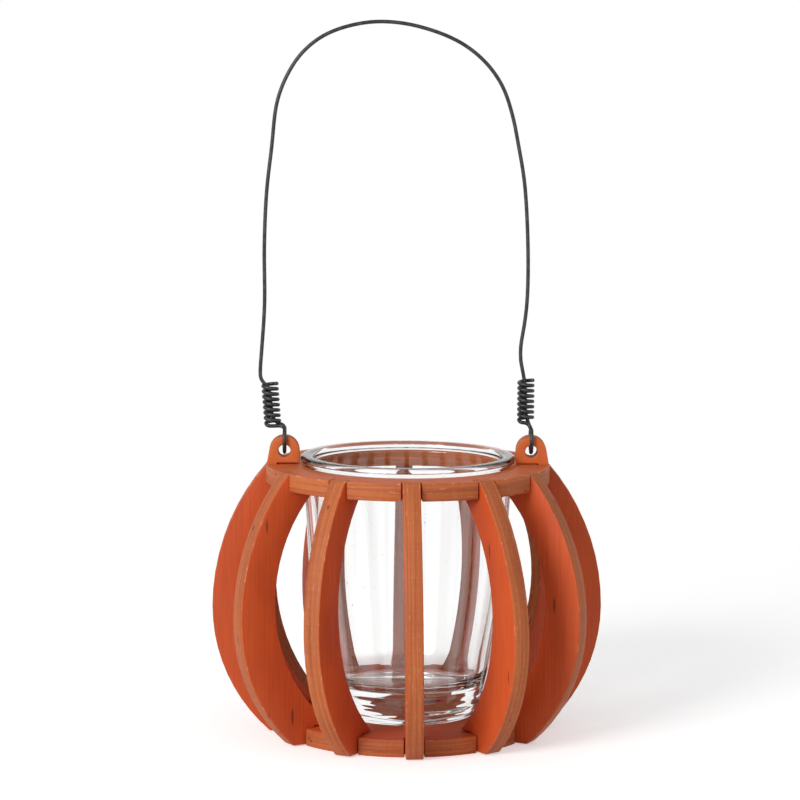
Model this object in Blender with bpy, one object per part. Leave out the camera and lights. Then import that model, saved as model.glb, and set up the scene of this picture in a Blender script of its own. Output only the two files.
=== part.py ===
"""Hanging tealight lantern: a cage of twelve plywood ribs slotted into a ring and a disc,
a glass cup that drops through the ring, and a wire bail hooked through two ears.

Metres, +Z up, origin under the middle of the cage. The ears point along X, the front is -Y.
"""

import math

import bmesh
import bpy
from mathutils import Matrix, Vector

# ---- Plywood cage ----
PLY = 0.006                      # sheet that the ring, the disc and the ribs are cut from
FIT_GAP = 0.0003                 # clearance between pieces that touch
CAGE_HEIGHT = 0.0935             # table to the top of the ring
RIB_COUNT = 12

CUP_CLEARANCE = 0.0005           # round the glass, in the ring's hole
RING_BAND = 0.0128               # ring, from its hole to its rim
DISC_INSET = 0.0056              # disc's rim, inside the ring's
NOTCH_DEPTH = 0.0044             # how far each rib's tongue is let into the ring and the disc

BELLY_BULGE = 0.0183             # widest point of the ribs, outside the ring's rim
BELLY_RISE = 0.47                # its height, as a share of the cage's
HEAD_INSET = 0.0004              # top of a rib's outer edge, inside the ring's rim
FOOT_OUTSET = 0.0041             # bottom of a rib's outer edge, outside the disc's rim
RIB_WIDTH_AT_BELLY = 0.0132
INNER_RISE = 0.53                # height where the inner edge is furthest out, as a share of the cage's
INNER_HEAD_OUTSET = 0.0025       # top of a rib's inner edge, outside the ring's hole
INNER_FOOT_INSET = 0.0109        # bottom of a rib's inner edge, inside the disc's rim
RIB_LEAN = math.radians(1.0)     # the cage is a little twisted, so every rib leans sideways
ODD_RIB = 10                     # one rib, counted from the right ear, is glued in askew:
ODD_TURN = math.radians(0.9)     # it stands this much further round
ODD_LEAN = math.radians(2.5)     # and leans more
FOOT_RISE = 0.0003               # ribs stop this far short of the disc's underside
ARC_STEP = math.radians(5)       # how finely a rib's curved edges are drawn

# ---- Ears, on the two ribs along X ----
EAR_WIDTH = 0.0104
EAR_HOLE_RADIUS = 0.0021
EAR_HOLE_RISE = 0.0045           # centre of the hole above the ring
EAR_FLARE = math.radians(10)     # slope of the outer side, from the ring to the round top

# ---- Glass cup ----
CUP_NECK_RADIUS = 0.0357         # outside, where it passes through the ring
CUP_TAPER = 0.055                # of the side, per unit of height
CUP_BEND_HEIGHT = 0.0600         # over the base; below it the side curves in as well
CUP_SIDE_SWEEP = 0.2600          # radius of that curve
CUP_HEEL = 0.0022                # rounding at the base
CUP_WALL = 0.0031
CUP_FLOOR = 0.0113
CUP_FLOOR_ROUND = 0.0070         # rounding inside, at the floor
BEAD_OVERHANG = 0.0013           # rim bead, past the neck
BEAD_HEIGHT = 0.0028
CUP_SIDE_ROWS = 8                # points down each side
CUP_STEPS = 52

# ---- Wire bail ----
WIRE_RADIUS = 0.00065
WIRE_GAP = 0.0003                # running clearance round the ear's bridge
BAIL_TOP = 0.2445                # centreline of the wire, over the table
COIL_SLACK = 0.0012              # inside a coil, beside the wire that it is wound round
COIL_GAP = 0.00053               # between its turns
COIL_TURNS = 7.6
COIL_POINTS = 12                 # per turn
LEFT_COIL_OUTSET = 0.0041        # foot of the left coil, outside the ear's middle
LEFT_COIL_RISE = 0.0056          # and over the bail's axis
LEFT_COIL_SLANT = -0.0010        # sideways, from its foot to its head
RIGHT_COIL_RISE = 0.0070
# The arch as bent by hand: sideways from the head of the nearer coil, and height as a share of its rise
LEFT_ARCH = ((-0.0028, 0.008), (-0.0033, 0.027), (-0.0029, 0.080), (-0.0018, 0.218), (-0.0019, 0.380),
             (-0.0011, 0.534), (0.0006, 0.655), (0.0023, 0.777), (0.0051, 0.842), (0.0106, 0.913),
             (0.0191, 0.967), (0.0316, 0.998), (0.0426, 1.000))
RIGHT_ARCH = ((-0.0345, 0.982), (-0.0235, 0.946), (-0.0150, 0.893), (-0.0090, 0.826), (-0.0055, 0.745),
              (-0.0035, 0.668), (-0.0011, 0.554), (0.0003, 0.350), (0.0000, 0.218), (-0.0010, 0.153),
              (-0.0019, 0.108), (-0.0019, 0.068), (-0.0012, 0.037))
LOOP_POINTS = 14
LOOP_OPENING = math.radians(24)  # from straight up to where the loop leaves the ear's bridge
LIFT_CLEARANCE = 0.0004          # between the rim bead and the wire as the cup is lifted
ARCH_STEP = 0.0045               # spacing of points on the arch
BEND_STEP = 0.0014               # and in the tight bends

# ---- Worked out from the sizes above ----
RING_BOTTOM = CAGE_HEIGHT - PLY
RING_HOLE_RADIUS = CUP_NECK_RADIUS + CUP_CLEARANCE
RING_RADIUS = RING_HOLE_RADIUS + RING_BAND
DISC_RADIUS = RING_RADIUS - DISC_INSET
BELLY_RADIUS = RING_RADIUS + BELLY_BULGE
BEAD_RADIUS = CUP_NECK_RADIUS + BEAD_OVERHANG
EAR_CENTRE = BEAD_RADIUS + FIT_GAP + EAR_WIDTH / 2
HOLE_HEIGHT = CAGE_HEIGHT + EAR_HOLE_RISE
EAR_TOP = HOLE_HEIGHT + EAR_WIDTH / 2
BRIDGE_HALF = (EAR_WIDTH / 2 - EAR_HOLE_RADIUS) / 2
PIVOT_HEIGHT = EAR_TOP - BRIDGE_HALF
LOOP_RADIUS = math.hypot(BRIDGE_HALF, PLY / 2) + WIRE_RADIUS + WIRE_GAP
COIL_RADIUS = 2 * WIRE_RADIUS + COIL_SLACK
COIL_HEIGHT = COIL_TURNS * (2 * WIRE_RADIUS + COIL_GAP)


def material(name, colour, roughness, metallic=0.0, transmission=0.0):
    made = bpy.data.materials.new(name)
    made.use_nodes = True
    shader = made.node_tree.nodes["Principled BSDF"]
    shader.inputs["Base Color"].default_value = (*colour, 1.0)
    shader.inputs["Roughness"].default_value = roughness
    shader.inputs["Metallic"].default_value = metallic
    shader.inputs["Transmission Weight"].default_value = transmission
    return made


def add_object(name, mesh, finish, parent=None):
    made = bpy.data.objects.new(name, mesh)
    bpy.context.scene.collection.objects.link(made)
    made.data.materials.append(finish)
    made.parent = parent
    return made


def arc(centre, radius, start, end, step):
    """Points from angle start to angle end, both included."""
    count = max(2, math.ceil(abs(end - start) / step))
    angles = [start + (end - start) * i / count for i in range(count + 1)]
    return [Vector((centre[0] + radius * math.cos(a), centre[1] + radius * math.sin(a))) for a in angles]


def plate(name, outline, hole, thickness):
    """A flat board in the XY plane, from z = 0 up, with its outline anticlockwise."""
    board = bmesh.new()
    edges = []
    for loop in [outline, hole] if hole else [outline]:
        corners = [board.verts.new((p[0], p[1], 0.0)) for p in loop]
        edges += [board.edges.new((a, b)) for a, b in zip(corners, corners[1:] + corners[:1])]
    bmesh.ops.triangle_fill(board, edges=edges, use_beauty=True, use_dissolve=False, normal=(0, 0, 1))
    raised = bmesh.ops.extrude_face_region(board, geom=board.faces[:])
    top = [v for v in raised["geom"] if isinstance(v, bmesh.types.BMVert)]
    bmesh.ops.translate(board, verts=top, vec=(0, 0, thickness))
    bmesh.ops.recalc_face_normals(board, faces=board.faces[:])
    mesh = bpy.data.meshes.new(name)
    board.to_mesh(mesh)
    board.free()
    mesh.shade_smooth()
    mesh.set_sharp_from_angle(angle=math.radians(30))
    return mesh


def heading(index):
    """Where a rib stands round the cage, anticlockwise from the right ear."""
    return 2 * math.pi * index / RIB_COUNT + (ODD_TURN if index == ODD_RIB else 0)


def lean(index):
    return ODD_LEAN if index == ODD_RIB else RIB_LEAN


def notched_round(radius, height):
    """Outline of a round board with one notch for each rib, where the leaning rib passes its height."""
    points = []
    floor = radius - NOTCH_DEPTH
    rim_start = None
    for index in range(RIB_COUNT + 1):
        slope = math.tan(lean(index % RIB_COUNT))
        shift = (PIVOT_HEIGHT - height) * slope
        half_width = PLY / 2 * (1 + slope) + FIT_GAP
        near, far = shift - half_width, shift + half_width
        rim_end = heading(index) + math.asin(near / radius)
        if rim_start is not None:
            points += arc((0, 0), radius, rim_start, rim_end, ARC_STEP)[1:-1]
        if index < RIB_COUNT:
            turn = Matrix.Rotation(heading(index), 2)
            for x, y in ((math.sqrt(radius ** 2 - near ** 2), near), (floor, near),
                         (floor, far), (math.sqrt(radius ** 2 - far ** 2), far)):
                points.append(turn @ Vector((x, y)))
        rim_start = heading(index) + math.asin(far / radius)
    return points


def circle(centre, radius, count):
    return [Vector((centre[0] + radius * math.cos(2 * math.pi * i / count),
                    centre[1] + radius * math.sin(2 * math.pi * i / count))) for i in range(count)]


def bowed(widest, end):
    """Upright arc from its widest point, where it runs straight up or down, to its end."""
    rise, reach = end[1] - widest[1], widest[0] - end[0]
    sweep = (rise ** 2 + reach ** 2) / (2 * reach)
    return arc((widest[0] - sweep, widest[1]), sweep, 0, math.asin(rise / sweep), ARC_STEP)


def rib_outline(with_ear):
    """Rib seen flat: x is the distance from the cage's axis, y the height."""
    seat = PLY + FIT_GAP                        # foot on the disc
    shoulder = RING_BOTTOM - FIT_GAP            # under the ring
    belly = (BELLY_RADIUS, BELLY_RISE * CAGE_HEIGHT)
    hollow = (BELLY_RADIUS - RIB_WIDTH_AT_BELLY, INNER_RISE * CAGE_HEIGHT)
    disc_side = DISC_RADIUS - NOTCH_DEPTH + FIT_GAP
    ring_side = RING_RADIUS - NOTCH_DEPTH + FIT_GAP

    points = [Vector((disc_side, FOOT_RISE))]
    points += reversed(bowed(belly, (DISC_RADIUS + FOOT_OUTSET, FOOT_RISE)))
    points += bowed(belly, (RING_RADIUS - HEAD_INSET, CAGE_HEIGHT))[1:]
    if with_ear:
        ear_inner = EAR_CENTRE - EAR_WIDTH / 2
        over_ring = CAGE_HEIGHT + FIT_GAP
        points += arc((EAR_CENTRE, HOLE_HEIGHT), EAR_WIDTH / 2, EAR_FLARE, math.pi, math.radians(15))
        points += [Vector((ear_inner, over_ring)), Vector((ring_side, over_ring))]
    else:
        points.append(Vector((ring_side, CAGE_HEIGHT)))
    points.append(Vector((ring_side, shoulder)))
    points += reversed(bowed(hollow, (RING_HOLE_RADIUS + INNER_HEAD_OUTSET, shoulder)))
    points += bowed(hollow, (DISC_RADIUS - INNER_FOOT_INSET, seat))[1:]
    points.append(Vector((disc_side, seat)))
    return points


def turned(name, profile):
    """Profile wire in the XZ plane, for a Screw modifier to turn about Z."""
    mesh = bpy.data.meshes.new(name)
    mesh.from_pydata([(x, 0, z) for x, z in profile], [(i, i + 1) for i in range(len(profile) - 1)], [])
    return mesh


def cup_side(height):
    """Outside radius of the glass at a height over its base."""
    drop = max(0.0, CUP_BEND_HEIGHT - height)
    neck_height = RING_BOTTOM - PLY - FIT_GAP
    return CUP_NECK_RADIUS - CUP_TAPER * max(0.0, neck_height - height) - drop ** 2 / (2 * CUP_SIDE_SWEEP)


def cup_profile():
    """Glass cup from the middle of its floor, over the rim, down to the middle of its base."""
    base = PLY + FIT_GAP
    bead_bottom = CAGE_HEIGHT + FIT_GAP
    neck_height = RING_BOTTOM - base
    half = BEAD_HEIGHT / 2
    inside_foot = CUP_FLOOR + CUP_FLOOR_ROUND
    quarter = math.pi / 2

    # Inside: floor, its rounded corner, and up the wall to the mouth
    corner = (cup_side(inside_foot) - CUP_WALL - CUP_FLOOR_ROUND, base + inside_foot)
    points = [(0, base + CUP_FLOOR)]
    points += arc(corner, CUP_FLOOR_ROUND, -quarter, 0, math.radians(30))
    for row in range(1, CUP_SIDE_ROWS + 1):
        height = inside_foot + (neck_height - inside_foot) * row / CUP_SIDE_ROWS
        points.append((cup_side(height) - CUP_WALL, base + height))
    # Rim: rounded lip, flat top, and the bead that hangs on the ring
    mouth = CUP_NECK_RADIUS - CUP_WALL
    points += arc((mouth + half, bead_bottom + half), half, math.pi, quarter, math.radians(30))
    points += arc((BEAD_RADIUS - half, bead_bottom + half), half, quarter, -quarter, math.radians(30))
    points.append((CUP_NECK_RADIUS, bead_bottom))
    # Outside: down the wall to the rounded heel
    for row in range(CUP_SIDE_ROWS + 1):
        height = neck_height - (neck_height - CUP_HEEL) * row / CUP_SIDE_ROWS
        points.append((cup_side(height), base + height))
    points += arc((cup_side(CUP_HEEL) - CUP_HEEL, base + CUP_HEEL), CUP_HEEL, 0, -quarter, math.radians(30))[1:]
    points.append((0, base))
    return [(p[0], p[1]) for p in points]


def between(p0, p1, p2, p3, share):
    """Point at a share of the way from p1 to p2 on the centripetal Catmull-Rom curve."""
    t1 = math.sqrt((p1 - p0).length)
    t2 = t1 + math.sqrt((p2 - p1).length)
    t3 = t2 + math.sqrt((p3 - p2).length)
    t = t1 + (t2 - t1) * share
    a1 = p0.lerp(p1, t / t1)
    a2 = p1.lerp(p2, share)
    a3 = p2.lerp(p3, (t - t2) / (t3 - t2))
    b1 = a1.lerp(a2, t / t2)
    b2 = a2.lerp(a3, (t - t1) / (t3 - t1))
    return b1.lerp(b2, share)


def smoothed(route):
    """Smooth curve through the route's points."""
    padded = [2 * route[0] - route[1]] + route + [2 * route[-1] - route[-2]]
    points = []
    for p0, p1, p2, p3 in zip(padded, padded[1:], padded[2:], padded[3:]):
        length = (p2 - p1).length
        pieces = math.ceil(length / (ARCH_STEP if length > ARCH_STEP else BEND_STEP))
        points += [between(p0, p1, p2, p3, k / pieces) for k in range(pieces)]
    return points + [route[-1]]


def coil(foot, head):
    """Left-handed helix upwards, from the coil's left side."""
    count = round(COIL_TURNS * COIL_POINTS)
    points = []
    for i in range(count + 1):
        angle = math.pi - 2 * math.pi * i / COIL_POINTS
        centre = foot.lerp(head, i / count)
        points.append(centre + COIL_RADIUS * Vector((math.cos(angle), math.sin(angle), 0)))
    return points


def ear_loop(x):
    """Loop round an ear's bridge, centred on the bail's axis: down behind it, through the hole and up in front."""
    points = []
    for i in range(LOOP_POINTS + 1):
        angle = LOOP_OPENING + (2 * math.pi - 2 * LOOP_OPENING) * i / LOOP_POINTS
        points.append(Vector((x, LOOP_RADIUS * math.sin(angle), PIVOT_HEIGHT + LOOP_RADIUS * math.cos(angle))))
    return points


def wrapped_end(foot, head, hole_x):
    """One end of the wire, from inside the top of the coil down to the ear and back up as the coil."""
    loop = ear_loop(hole_x)
    down, up = loop[0], loop[-1]
    route = [head + Vector((-0.0003, 0.0001, -0.0020)), foot.lerp(head, 0.3) + Vector((-0.0002, 0.0004, 0))]
    route += [foot + Vector((0.0002, 0.0008, 0.0016)), down.lerp(foot, 0.55) + Vector((0, 0.0001, 0.0006))]
    route += [down + Vector((-0.0006, -0.0006, 0.0010))]
    route += loop
    route += [up + Vector((-0.0006, 0.0007, 0.0007)), up.lerp(foot, 0.45) + Vector((0, 0.0003, 0.0001))]
    route += [foot + Vector((-0.0004, -0.0009, -0.0009)), foot + Vector((-0.0019, -0.0010, -0.0007))]
    return route + coil(foot, head)


def bail_route():
    """Centreline of the whole wire, from the left coil's free end to the right coil's."""
    left_foot = Vector((-EAR_CENTRE - LEFT_COIL_OUTSET, 0, PIVOT_HEIGHT + LEFT_COIL_RISE))
    left_head = left_foot + Vector((LEFT_COIL_SLANT, 0, COIL_HEIGHT))
    right_foot = Vector((BEAD_RADIUS + LIFT_CLEARANCE + WIRE_RADIUS + COIL_RADIUS, 0,
                         PIVOT_HEIGHT + RIGHT_COIL_RISE))
    right_head = right_foot + Vector((0, 0, COIL_HEIGHT))
    rise = BAIL_TOP - left_head.z
    route = list(reversed(wrapped_end(left_foot, left_head, -EAR_CENTRE)))
    for offset, share in LEFT_ARCH:
        route.append(left_head + Vector((offset, 0, share * rise)))
    for offset, share in RIGHT_ARCH:
        route.append(Vector((right_head.x + offset, 0, left_head.z + share * rise)))
    route += wrapped_end(right_foot, right_head, EAR_CENTRE)
    return smoothed(route)


def wire_object(name, points, finish, parent):
    data = bpy.data.curves.new(name, "CURVE")
    data.dimensions = "3D"
    data.bevel_depth = WIRE_RADIUS
    data.bevel_resolution = 2
    data.use_fill_caps = True
    run = data.splines.new("POLY")
    run.points.add(len(points) - 1)
    for point, place in zip(run.points, points):
        point.co = (*(place - Vector((0, 0, PIVOT_HEIGHT))), 1.0)
    return add_object(name, data, finish, parent)


for old in list(bpy.data.objects):
    bpy.data.objects.remove(old)

stained_ply = material("stained_plywood", (0.56, 0.12, 0.045), 0.55)
clear_glass = material("clear_glass", (0.95, 0.97, 0.96), 0.05, transmission=1.0)
black_wire = material("annealed_wire", (0.035, 0.035, 0.037), 0.42, metallic=1.0)

# Ring and disc
ring_mesh = plate("top_ring", notched_round(RING_RADIUS, CAGE_HEIGHT - PLY / 2), circle((0, 0), RING_HOLE_RADIUS, 60),
                  PLY)
ring = add_object("top_ring", ring_mesh, stained_ply.copy())
ring.location.z = RING_BOTTOM
disc_mesh = plate("bottom_disc", notched_round(DISC_RADIUS, PLY / 2), None, PLY)
add_object("bottom_disc", disc_mesh, stained_ply.copy())

# Ribs: the outline is drawn flat, stood up, leant about the height of the bail's axis, and
# turned round the cage's axis to its heading
plain_mesh = plate("rib", rib_outline(False), None, PLY)
ear_mesh = plate("ear_rib", rib_outline(True), circle((EAR_CENTRE, HOLE_HEIGHT), EAR_HOLE_RADIUS, 20), PLY)
stand_up = Matrix.Rotation(math.pi / 2, 4, "X") @ Matrix.Translation((0, 0, -PLY / 2))
lean_at = Matrix.Translation((0, 0, PIVOT_HEIGHT))
plain_number = 0
for index in range(RIB_COUNT):
    if index == 0:
        name, mesh = "ear_rib_right", ear_mesh
    elif index == RIB_COUNT // 2:
        name, mesh = "ear_rib_left", ear_mesh
    else:
        plain_number += 1
        name, mesh = f"rib_{plain_number:02d}", plain_mesh
    rib = add_object(name, mesh.copy(), stained_ply.copy())
    leant = lean_at @ Matrix.Rotation(lean(index), 4, "X") @ lean_at.inverted()
    rib.matrix_world = Matrix.Rotation(heading(index), 4, "Z") @ leant @ stand_up

# Glass cup
cup = add_object("glass_cup", turned("glass_cup", cup_profile()), clear_glass)
spin = cup.modifiers.new("Turn", "SCREW")
spin.steps = CUP_STEPS
spin.render_steps = CUP_STEPS
spin.use_merge_vertices = True
spin.merge_threshold = 0.00001
spin.use_normal_calculate = True
spin.use_smooth_shade = True

# Wire bail, on an empty on its hinge line
hinge = bpy.data.objects.new("bail_axis", None)
bpy.context.scene.collection.objects.link(hinge)
hinge.location.z = PIVOT_HEIGHT
wire_object("wire_bail", bail_route(), black_wire, hinge)
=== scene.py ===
"""Looks of a hanging tealight lantern: stained plywood cage, pressed-glass cup and wire bail.

Metres, +Z up. The ears lie along X and the front faces -Y.
"""

import math

import bpy
from mathutils import Matrix, Vector


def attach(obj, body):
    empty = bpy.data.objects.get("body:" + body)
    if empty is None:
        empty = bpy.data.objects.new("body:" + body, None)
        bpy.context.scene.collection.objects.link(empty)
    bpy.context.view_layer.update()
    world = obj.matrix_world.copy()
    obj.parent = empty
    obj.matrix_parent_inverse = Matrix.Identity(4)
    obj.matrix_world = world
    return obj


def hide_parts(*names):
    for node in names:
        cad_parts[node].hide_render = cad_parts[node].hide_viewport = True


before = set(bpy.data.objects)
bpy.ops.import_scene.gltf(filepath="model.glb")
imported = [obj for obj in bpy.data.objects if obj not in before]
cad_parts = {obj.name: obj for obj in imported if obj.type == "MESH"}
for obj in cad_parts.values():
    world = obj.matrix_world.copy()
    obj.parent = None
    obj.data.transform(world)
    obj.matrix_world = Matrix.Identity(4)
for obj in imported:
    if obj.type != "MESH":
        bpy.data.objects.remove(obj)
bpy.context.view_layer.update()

# ---- Camera, table and light ----
# The lantern stands on a wide white table with nothing behind it. A big soft lamp stands on
# the left and a weaker one on the right, both in front and above.
LENS = 137.8                     # mm, on a 36 mm sensor
VIEW_DISTANCE = 1.0543
VIEW_PITCH = math.radians(6.9)   # downwards
VIEW_TURN = math.radians(-1.2)   # from straight in front, round the lantern
VIEW_ROLL = math.radians(0.32)
VIEW_AIM = (-0.0028, 0, 0.1154)
TABLE_SIZE = 8.0
TABLE_WHITE = (0.93, 0.93, 0.93, 1)
TABLE_LIFT = 0.44                # added for the eye only, so that the unshaded table is plain white
SHADED_REACH = 0.22              # the table shows shade this far from the lantern, and is plain white beyond
WHITE_REACH = 0.55
ROOM_LIGHT = 0.42                # what reaches matt surfaces from the white room
OVERHEAD = (0.62, 0.65, 0.64, 1)  # what glass and metal mirror from above
CAGE_MIDDLE = 0.06               # height the lamps are aimed at

bpy.ops.object.select_all(action="DESELECT")
bpy.ops.object.camera_add()
camera = bpy.context.object
camera.name = "camera"
camera.data.lens = LENS
camera.data.sensor_width = 36
camera.matrix_world = (
    Matrix.Rotation(VIEW_TURN, 4, "Z") @ Matrix.Translation(VIEW_AIM)
    @ Matrix.Rotation(math.pi / 2 - VIEW_PITCH, 4, "X") @ Matrix.Rotation(VIEW_ROLL, 4, "Z")
    @ Matrix.Translation((0, 0, VIEW_DISTANCE))
)
bpy.context.scene.camera = camera
bpy.context.scene.view_settings.view_transform = "Standard"


def soft_lamp(name, place, size, power):
    """Square lamp aimed at the lantern's cage."""
    bpy.ops.object.light_add(type="AREA", location=place)
    lamp = bpy.context.object
    lamp.name = name
    lamp.data.size = size
    lamp.data.energy = power
    away = Vector(place) - Vector((0, 0, CAGE_MIDDLE))
    lamp.rotation_euler = away.to_track_quat("Z", "Y").to_euler()


# Place and width in metres, then watts
soft_lamp("left_lamp", (-1.20, -1.50, 0.85), 0.80, 29)
soft_lamp("right_lamp", (1.30, -1.20, 0.90), 0.90, 2)


class Signal:
    """An output socket of a node. Arithmetic on it adds Math nodes to the same tree."""

    def __init__(self, tree, socket=None):
        self.tree = tree
        self.socket = socket

    def node(self, kind, settings, sockets, output=0):
        """Adds a node: first its settings, then the values or links of its sockets."""
        made = self.tree.nodes.new("ShaderNode" + kind)
        for name, value in settings.items():
            setattr(made, name, value)
        for name, value in sockets.items():
            if isinstance(value, Signal):
                self.tree.links.new(value.socket, made.inputs[name])
            else:
                made.inputs[name].default_value = value
        return Signal(self.tree, made.outputs[output] if made.outputs else None)

    def output(self, name):
        """Another output of the same node."""
        return Signal(self.tree, self.socket.node.outputs[name])

    def math(self, operation, first, second):
        return self.node("Math", {"operation": operation}, {0: first, 1: second})

    def __add__(self, other):
        return self.math("ADD", self, other)

    __radd__ = __add__

    def __sub__(self, other):
        return self.math("SUBTRACT", self, other)

    def __rsub__(self, other):
        return self.math("SUBTRACT", other, self)

    def __mul__(self, other):
        return self.math("MULTIPLY", self, other)

    __rmul__ = __mul__

    def step(self, low, high):
        """0 below low, 1 above high, smooth between; the other way round if high is the lower."""
        return self.node("MapRange", {"interpolation_type": "SMOOTHSTEP"}, {
            "Value": self, "From Min": low, "From Max": high,
        })

    def mix(self, first, second):
        """Colour that goes from the first to the second as this goes from 0 to 1."""
        return self.node("Mix", {"data_type": "RGBA"}, {0: self, 6: first, 7: second}, 2)


def new_tree(owner):
    """Empties a material's or the world's node tree and gives a Signal to build it with."""
    owner.use_nodes = True
    owner.node_tree.nodes.clear()
    return Signal(owner.node_tree)


# World: white to the eye, grey overhead in reflections, and an even soft light on matt surfaces
world = bpy.data.worlds.new("white_room")
bpy.context.scene.world = world
room = new_tree(world)
rays = room.node("LightPath", {}, {})
height = room.node("SeparateXYZ", {}, {0: room.node("TexCoord", {}, {}, "Generated")}, "Z")
mirrored = height.step(0.35, 0.85).mix((1, 1, 1, 1), OVERHEAD)
seen = rays.output("Is Camera Ray")
reflected = rays.output("Is Glossy Ray") + rays.output("Is Transmission Ray")
lit = reflected.mix((ROOM_LIGHT, ROOM_LIGHT, ROOM_LIGHT, 1), mirrored)
glow = room.node("Background", {}, {"Color": seen.mix(lit, (1, 1, 1, 1))})
room.node("OutputWorld", {}, {"Surface": glow})

bpy.ops.mesh.primitive_plane_add(size=TABLE_SIZE)
table = bpy.context.object
table.name = "table"
white_table = bpy.data.materials.new("white_table")
paint = new_tree(white_table)
rays = paint.node("LightPath", {}, {})
surface = paint.node("BsdfPrincipled", {}, {
    "Base Color": TABLE_WHITE, "Roughness": 0.9, "Specular IOR Level": 0.1,
})
lifted = paint.node("AddShader", {}, {0: surface, 1: paint.node("Emission", {}, {"Strength": TABLE_LIFT})})
place = paint.node("TexCoord", {}, {}, "Object")
reach = paint.node("VectorMath", {"operation": "LENGTH"}, {0: place}, "Value")
plain = paint.node("Emission", {}, {"Strength": 1.0})
shown = paint.node("MixShader", {}, {0: reach.step(SHADED_REACH, WHITE_REACH), 1: lifted, 2: plain})
seen = rays.output("Is Camera Ray") + rays.output("Is Glossy Ray") + rays.output("Is Transmission Ray")
final = paint.node("MixShader", {}, {0: seen, 1: surface, 2: shown})
paint.node("OutputMaterial", {}, {"Surface": final})
table.data.materials.append(white_table)

# ---- Plywood cage ----
# Twelve ribs, a ring and a disc are sawn from 6 mm plywood, dipped in orange-red stain and
# glued together through notches. The sawn edges show the plies and take the stain paler.
PLY = 0.006
ARRIS = 0.0004                   # rounding of every sawn corner
ARRIS_STEPS = 3
SHARP = math.radians(28)         # corners sharper than this are rounded
SAME_POINT = 0.000005            # points of a solid closer than this are one
FACE_STAIN = (0.64, 0.100, 0.020, 1)
FACE_STAIN_DEEP = (0.48, 0.066, 0.016, 1)
SHEEN_AND_RUBBED_STAIN = (0.59, 0.125, 0.028, 1)     # the top of the ring and the ears, paler: partly rubbed wear, partly painted sheen of light grazing the ring's top
PALE_TOP_HEIGHT = 0.0934
SAWN_STAIN = (0.54, 0.145, 0.042, 1)
SAWN_STAIN_DEEP = (0.31, 0.068, 0.019, 1)
BARE_WOOD = (0.72, 0.38, 0.22, 1)
SATIN = 0.3                      # how strongly the stain shines
KNOT = (0.10, 0.028, 0.015, 1)
GRAIN_DEPTH = 0.00012            # relief of the grain and the saw's marks


def plywood():
    """Stained plywood, read from the board's coordinates: along the grain, across it, through the plies."""
    made = bpy.data.materials.new("stained_plywood")
    stain = new_tree(made)
    place = stain.node("Attribute", {"attribute_name": "board"}, {}, "Vector")
    height = stain.node("SeparateXYZ", {}, {0: stain.node("TexCoord", {}, {}, "Object")}, "Z")
    through = stain.node("SeparateXYZ", {}, {0: place}, "Z")
    depth = stain.node("Math", {"operation": "ABSOLUTE"}, {0: through})
    sawn = depth.step(PLY / 2, PLY / 2 - ARRIS)
    past_arris = depth.step(PLY / 2 - ARRIS * 1.2, PLY / 2 - ARRIS * 0.8)
    arris = depth.step(PLY / 2, PLY / 2 - ARRIS * 0.2) * past_arris

    def streaks(along, across, plies, detail=2.0):
        """Noise stretched by its frequencies, per metre, in the board's three directions."""
        stretched = stain.node("VectorMath", {"operation": "MULTIPLY"}, {0: place, 1: (along, across, plies)})
        return stain.node("TexNoise", {}, {
            "Vector": stretched, "Scale": 1.0, "Detail": detail, "Roughness": 0.55,
        })

    # Broad faces: fine grain lines and slow changes in how much stain they took
    grain = streaks(45, 1700, 300, 3.0)
    cloudy = streaks(28, 40, 40, 1.0)
    taken = cloudy.step(0.30, 0.70)
    face = (grain.step(0.30, 0.70) * 0.5 + taken * 0.5).mix(FACE_STAIN, FACE_STAIN_DEEP)
    # Painted sheen and wear: everything above the ring's top is made paler by height, standing partly for
    # light grazing the top and partly for rubbing
    top_sheen_and_rub = height.step(PALE_TOP_HEIGHT - 0.0006, PALE_TOP_HEIGHT) * (0.6 + grain * 0.6)
    face = top_sheen_and_rub.mix(face, SHEEN_AND_RUBBED_STAIN)
    # Sawn edges: plies as lines along them, and fine marks of the saw across them
    plies = streaks(22, 22, 1500, 1.0)
    saw = streaks(1500, 1500, 90, 2.0)
    uneven = plies.step(0.32, 0.68) * 0.54 + saw.step(0.35, 0.65) * 0.12 + taken * 0.34
    edge = uneven.mix(SAWN_STAIN, SAWN_STAIN_DEEP)
    colour = sawn.mix(face, edge)
    # Pale fibres in the sawn edges, and bare wood where the corners have rubbed
    fibres = streaks(260, 260, 3000, 3.0).step(0.60, 0.72) * sawn * 0.36
    rubbed = streaks(330, 330, 330, 3.0).step(0.56, 0.70) * arris * (0.40 + height.step(0.085, 0.093) * 0.5)
    colour = stain.node("Clamp", {}, {0: fibres + rubbed}).mix(colour, BARE_WOOD)
    # Small dark knots and nicks, longer along the grain
    cells = stain.node("VectorMath", {"operation": "MULTIPLY"}, {0: place, 1: (38, 210, 210)})
    nick = stain.node("TexVoronoi", {}, {"Vector": cells, "Scale": 1.0}, "Distance")
    chosen = stain.node("SeparateColor", {}, {0: nick.output("Color")}).step(0.25, 0.27)
    nicks = nick.step(0.150, 0.050) * chosen
    colour = (nicks * 0.8).mix(colour, KNOT)

    relief = grain * (1 - sawn) * 0.5 + (plies * 0.6 + saw * 0.5) * sawn - nicks * 0.7
    bumpy = stain.node("Bump", {}, {"Height": relief, "Strength": 0.35, "Distance": GRAIN_DEPTH})
    rough = 0.46 + grain * 0.10 + sawn * 0.08
    finish = stain.node("BsdfPrincipled", {}, {
        "Base Color": colour, "Roughness": rough, "Normal": bumpy, "Specular IOR Level": SATIN,
    })
    stain.node("OutputMaterial", {}, {"Surface": finish})
    return made


stained_plywood = plywood()


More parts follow.
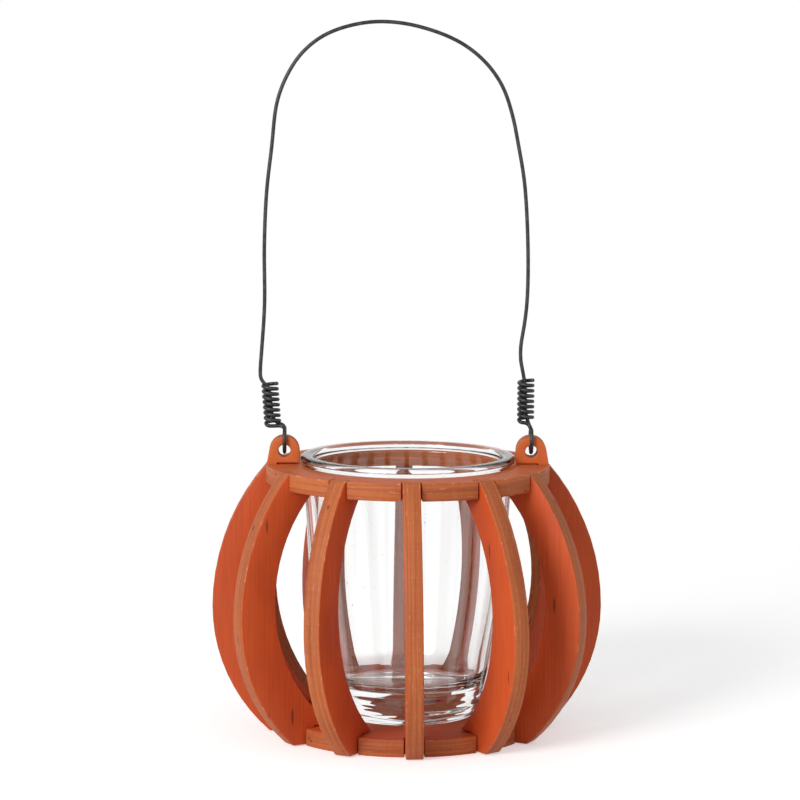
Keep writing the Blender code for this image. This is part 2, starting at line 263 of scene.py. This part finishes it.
def board_axes(board, grain):
    """Directions of a board as the rows of a matrix: along its grain, across it and through its plies."""
    through = max(board.data.polygons, key=lambda face: face.area).normal.copy()
    across = through.cross(grain).normalized()
    return Matrix((across.cross(through), across, through))


def sawn_board(node, grain, offset):
    """Copy of a board's solid with rounded arrises, standing for it."""
    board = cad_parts[node].copy()
    board.data = board.data.copy()
    board.name = board.data.name = "ply_" + node
    board.parent = None
    board.matrix_world = Matrix()
    board.data.materials.clear()
    bpy.context.scene.collection.objects.link(board)
    bpy.ops.object.select_all(action="DESELECT")
    board.select_set(True)
    bpy.context.view_layer.objects.active = board
    bpy.ops.object.mode_set(mode="EDIT")
    bpy.ops.mesh.select_all(action="SELECT")
    bpy.ops.mesh.remove_doubles(threshold=SAME_POINT)
    bpy.ops.mesh.dissolve_limited(angle_limit=math.radians(0.5))
    bpy.ops.mesh.faces_shade_smooth()
    bpy.ops.object.mode_set(mode="OBJECT")
    axes = board_axes(board, grain)
    rounding = board.modifiers.new("Arris", "BEVEL")
    rounding.width = ARRIS
    rounding.segments = ARRIS_STEPS
    rounding.limit_method = "ANGLE"
    rounding.angle_limit = SHARP
    rounding.harden_normals = True
    bpy.ops.object.modifier_apply(modifier=rounding.name)
    # The board's own coordinates, with the middle ply at zero, carry its grain and plies
    places = [axes @ vertex.co for vertex in board.data.vertices]
    middle = (min(place.z for place in places) + max(place.z for place in places)) / 2
    attribute = board.data.attributes.new("board", "FLOAT_VECTOR", "POINT")
    for place, value in zip(places, attribute.data):
        value.vector = place + Vector((offset, offset, -middle))
    board.data.materials.append(stained_plywood)
    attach(board, "cage")
    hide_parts(node)


# Ring and disc lie flat, with the grain from ear to ear; ribs stand, with the grain upright.
# The offset moves each board's pattern, so that no two boards look alike.
sawn_board("top_ring", Vector((1, 0, 0)), 0.9)
sawn_board("bottom_disc", Vector((1, 0, 0)), 1.4)
RIB_OFFSET = 0.31
rib_nodes = sorted(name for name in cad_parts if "rib" in name)
for number, node in enumerate(rib_nodes):
    sawn_board(node, Vector((0, 0, 1)), RIB_OFFSET * number)

# ---- Glass cup ----
# Clear pressed glass with a heavy base, a wall that bellies in a little towards the foot, and
# a round bead at the rim that rests on the ring. It lifts out.
GLASS_TINT = (0.995, 1.0, 0.998, 1)
GLASS_STEPS = 128                # round the cup
GLASS_BASE = 0.0063              # underside of the glass, just over the disc
NECK_RADIUS = 0.0357
RIM_RADIUS = 0.0370
RIM_BOTTOM = 0.0938
RIM_TOP = 0.0966
WALL = 0.0031
TAPER = 0.055                    # of the side, per metre of height below the neck
TAPER_TOP = 0.0875
BEND_HEIGHT = 0.0663             # below it the side curves in as well
SIDE_SWEEP = 0.26                # radius of that curve
MOUTH_HEIGHT = 0.0915            # the inside is straight up to here, and the outside to the neck
NECK_HEIGHT = 0.0925
INSIDE_ROWS = 24
OUTSIDE_ROWS = 28
FLOOR_TOP = 0.0176
FLOOR_DISH = 0.0006              # how much lower the floor's middle lies
FLOOR_CORNER = 0.0070            # rounding inside, at the floor
HEEL = 0.0016                    # rounding outside, at the base
PUNT = 0.0004                    # hollow under the base
FOOT_WIDTH = 0.0012              # of the flat ring round the hollow
HOLLOW_ROWS = 14


def arc(centre, radius, start, end, count):
    """Points of an arc, with both ends; the angles are in degrees from straight out."""
    points = []
    for index in range(count + 1):
        angle = math.radians(start + (end - start) * index / count)
        points.append((centre[0] + radius * math.cos(angle), centre[1] + radius * math.sin(angle)))
    return points


def glass_side(height):
    """Outside radius of the cup at a height over the table."""
    drop = max(0.0, BEND_HEIGHT - height)
    return NECK_RADIUS - TAPER * max(0.0, TAPER_TOP - height) - drop ** 2 / (2 * SIDE_SWEEP)


corner_height = FLOOR_TOP + FLOOR_CORNER
inside_step = (MOUTH_HEIGHT - corner_height) / INSIDE_ROWS
inside_heights = [corner_height + inside_step * row for row in range(1, INSIDE_ROWS + 1)]
heel_height = GLASS_BASE + HEEL
outside_step = (heel_height - NECK_HEIGHT) / OUTSIDE_ROWS
outside_heights = [NECK_HEIGHT + outside_step * row for row in range(OUTSIDE_ROWS)]
half_bead = (RIM_TOP - RIM_BOTTOM) / 2
section = [(0, FLOOR_TOP - FLOOR_DISH), (0.0050, FLOOR_TOP - FLOOR_DISH * 5 / 6),
           (0.0090, FLOOR_TOP - FLOOR_DISH / 2)]
section += arc((glass_side(corner_height) - WALL - FLOOR_CORNER, corner_height), FLOOR_CORNER, -84, -6, 12)
section += [(glass_side(z) - WALL, z) for z in inside_heights]
section += arc((NECK_RADIUS - WALL + half_bead, RIM_BOTTOM + half_bead), half_bead, 180, 90, 6)
section += arc((RIM_RADIUS - half_bead, RIM_BOTTOM + half_bead), half_bead, 90, -80, 10)
section += [(glass_side(z), z) for z in outside_heights]
section += arc((glass_side(heel_height) - HEEL, heel_height), HEEL, 0, -90, 8)
foot = section[-1][0]
section += [(foot - FOOT_WIDTH, GLASS_BASE)]
for row in range(1, HOLLOW_ROWS):
    turn = math.pi / 2 * row / HOLLOW_ROWS
    section += [((foot - FOOT_WIDTH * 4 / 3) * math.cos(turn), GLASS_BASE + PUNT * math.sin(turn) ** 0.8)]
section += [(0, GLASS_BASE + PUNT)]

cup_mesh = bpy.data.meshes.new("pressed_glass_cup")
cup_mesh.from_pydata([(x, 0, z) for x, z in section], [(i, i + 1) for i in range(len(section) - 1)], [])
cup = bpy.data.objects.new("pressed_glass_cup", cup_mesh)
bpy.context.scene.collection.objects.link(cup)
bpy.ops.object.select_all(action="DESELECT")
cup.select_set(True)
bpy.context.view_layer.objects.active = cup
bpy.ops.object.mode_set(mode="EDIT")
bpy.ops.mesh.select_all(action="SELECT")
bpy.ops.mesh.spin(steps=GLASS_STEPS, angle=2 * math.pi, center=(0, 0, 0), axis=(0, 0, 1))
bpy.ops.mesh.select_all(action="SELECT")
bpy.ops.mesh.remove_doubles(threshold=SAME_POINT)
bpy.ops.mesh.normals_make_consistent(inside=False)
bpy.ops.mesh.faces_shade_smooth()
bpy.ops.object.mode_set(mode="OBJECT")

clear_glass = bpy.data.materials.new("clear_glass")
melt = new_tree(clear_glass)
place = melt.node("TexCoord", {}, {}, "Object")
height = melt.node("SeparateXYZ", {}, {0: place}, "Z")
ripple = melt.node("TexNoise", {}, {"Vector": place, "Scale": 60, "Detail": 1.0})
flat = melt.node("VectorMath", {"operation": "MULTIPLY"}, {0: place, 1: (45, 45, 330)})
swirl = melt.node("TexNoise", {}, {"Vector": flat, "Scale": 1.0, "Detail": 0.5}) * height.step(0.0170, 0.0135)
upright = melt.node("VectorMath", {"operation": "MULTIPLY"}, {0: place, 1: (900, 900, 260)})
scratch = melt.node("TexNoise", {}, {"Vector": upright, "Scale": 1.0, "Detail": 3.0}).step(0.71, 0.77)
bumpy = melt.node("Bump", {}, {"Height": ripple * 0.006 + swirl, "Strength": 1.0, "Distance": 0.0010})
gloss = melt.node("BsdfPrincipled", {}, {
    "Base Color": GLASS_TINT, "Roughness": 0.0, "IOR": 1.5, "Transmission Weight": 1.0, "Normal": bumpy,
})
dust = melt.node("BsdfDiffuse", {}, {"Color": (0.85, 0.85, 0.85, 1)})
speckled = melt.node("MixShader", {}, {0: scratch * 0.5, 1: gloss, 2: dust})
melt.node("OutputMaterial", {}, {"Surface": speckled})
cup.data.materials.append(clear_glass)
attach(cup, "cup")
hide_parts("glass_cup")

# ---- Wire bail ----
# One length of 1.3 mm annealed steel wire, bent by hand: an arch, a close coil at each end
# wound round the wire itself, and a loop through each ear.
WIRE_RADIUS = 0.00065
BLACK_SCALE = (0.030, 0.031, 0.033, 1)
WORN_SCALE = (0.060, 0.060, 0.060, 1)
OCTAGON_SHRINK = (2 + math.cos(math.pi / 4)) / 3    # what a subdivision surface makes of an eight-sided tube

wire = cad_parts["wire_bail"].copy()
wire.data = wire.data.copy()
wire.name = wire.data.name = "bent_wire"
wire.parent = None
wire.matrix_world = Matrix()
wire.data.materials.clear()
bpy.context.scene.collection.objects.link(wire)
bpy.ops.object.select_all(action="DESELECT")
wire.select_set(True)
bpy.context.view_layer.objects.active = wire
bpy.ops.object.mode_set(mode="EDIT")
bpy.ops.mesh.select_all(action="SELECT")
bpy.ops.mesh.remove_doubles(threshold=SAME_POINT)
bpy.ops.mesh.tris_convert_to_quads(face_threshold=math.radians(60), shape_threshold=math.radians(60))
bpy.ops.transform.shrink_fatten(value=WIRE_RADIUS * (1 / OCTAGON_SHRINK - 1))
bpy.ops.mesh.faces_shade_smooth()
bpy.ops.object.mode_set(mode="OBJECT")
rounding = wire.modifiers.new("Round", "SUBSURF")
rounding.levels = 2
rounding.render_levels = 2
bpy.ops.object.modifier_apply(modifier=rounding.name)

annealed_wire = bpy.data.materials.new("annealed_wire")
steel = new_tree(annealed_wire)
place = steel.node("TexCoord", {}, {}, "Object")
scale = steel.node("TexNoise", {}, {"Vector": place, "Scale": 700, "Detail": 3.0})
dull = scale.step(0.35, 0.70)
colour = dull.mix(BLACK_SCALE, WORN_SCALE)
bumpy = steel.node("Bump", {}, {"Height": scale, "Strength": 0.2, "Distance": 0.00005})
finish = steel.node("BsdfPrincipled", {}, {
    "Base Color": colour, "Roughness": 0.34 + dull * 0.2, "Metallic": 0.6, "Normal": bumpy,
})
steel.node("OutputMaterial", {}, {"Surface": finish})
wire.data.materials.append(annealed_wire)
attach(wire, "bail")
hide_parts("wire_bail")
